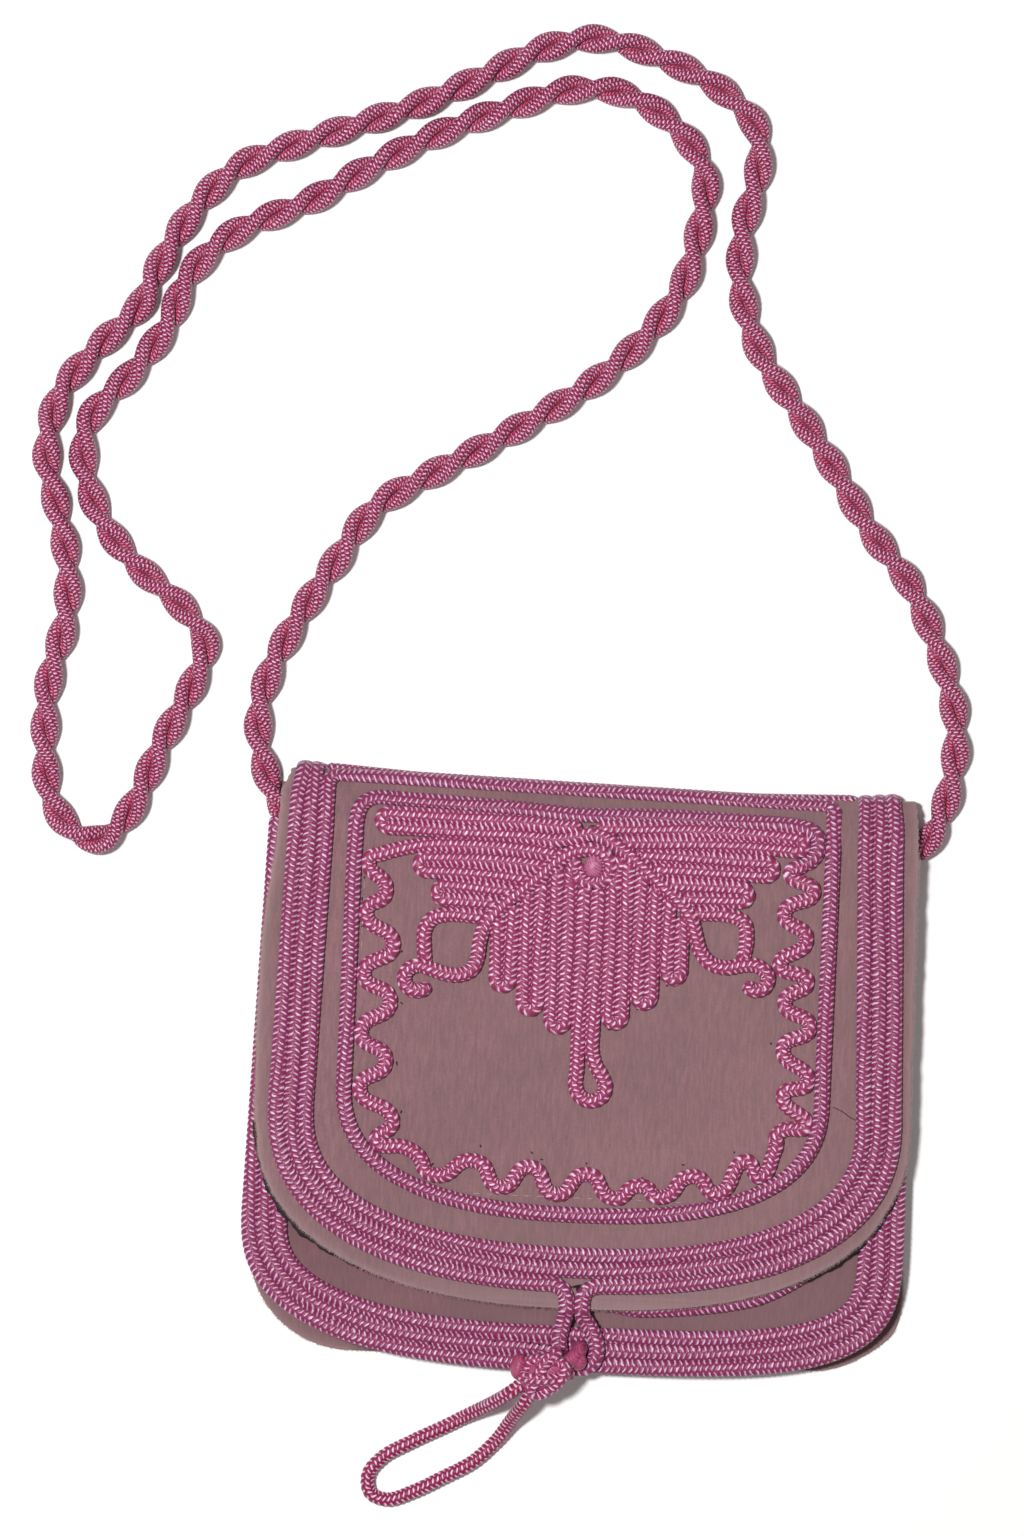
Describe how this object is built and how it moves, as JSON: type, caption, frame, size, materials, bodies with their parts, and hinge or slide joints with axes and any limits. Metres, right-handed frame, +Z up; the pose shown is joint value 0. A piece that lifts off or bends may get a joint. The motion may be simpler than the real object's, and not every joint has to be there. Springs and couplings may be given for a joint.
{
  "type": "embroidered suede purse",
  "caption": "Small flat suede purse with a rounded flap, sewn braided cord ornament, a knot-and-loop closure and a long twisted cord strap.",
  "frame": {"origin": "on the table under the middle of the purse's outline, with the free cords left out", "axes": "+X to the purse's right seen from the front, +Y towards the fold and the strap, +Z up from the table through the flap"},
  "size_m": [0.2581, 0.404, 0.0202],
  "materials": {
    "suede": "soft napped suede, dusty mauve",
    "braided_cord": "shiny rayon braid, rose pink",
    "satin_knot": "smooth satin thread, deep rose"
  },
  "bodies": {
    "bag": {"back_panel": "suede", "gusset": "suede", "front_panel": "suede", "top_fold": "suede", "front_edge_cord_outer": "braided_cord", "front_edge_cord_middle": "braided_cord", "front_edge_cord_inner": "braided_cord", "front_frame_cord": "braided_cord", "fold_cord_left_outer": "braided_cord", "fold_cord_left_middle": "braided_cord", "fold_cord_left_inner": "braided_cord", "fold_cord_right_outer": "braided_cord", "fold_cord_right_middle": "braided_cord", "fold_cord_right_inner": "braided_cord", "top_cord_upper": "braided_cord", "top_cord_lower": "braided_cord", "closure_knot": "satin_knot", "pull_loop": "braided_cord", "strap_rope": "braided_cord"},
    "flap": {"flap_panel": "suede", "flap_edge_cord_outer_left": "braided_cord", "flap_edge_cord_outer_right": "braided_cord", "flap_edge_cord_middle": "braided_cord", "flap_edge_cord_inner": "braided_cord", "frame_cord": "braided_cord", "wave_cord": "braided_cord", "arch_cord": "braided_cord", "ring_cord": "braided_cord", "ring_ball": "satin_knot", "square_cord_left": "braided_cord", "square_cord_right": "braided_cord", "rows_left_middle": "braided_cord", "rows_left_lower": "braided_cord", "rows_right_upper": "braided_cord", "rows_right_middle": "braided_cord", "rows_right_lower": "braided_cord", "comb_cord": "braided_cord", "closure_loop": "braided_cord"}
  },
  "joints": [
    {"name": "flap_fold", "type": "hinge", "parent": "bag", "child": "flap", "pos_m": [0, 0.07771, 0.004], "axis": [-1, 0, 0], "range_deg": [0, 150], "deforming": ["top_fold", "fold_cord_left_outer", "fold_cord_left_middle", "fold_cord_left_inner", "fold_cord_right_outer", "fold_cord_right_middle", "fold_cord_right_inner", "top_cord_upper", "top_cord_lower", "closure_loop"]}
  ]
}
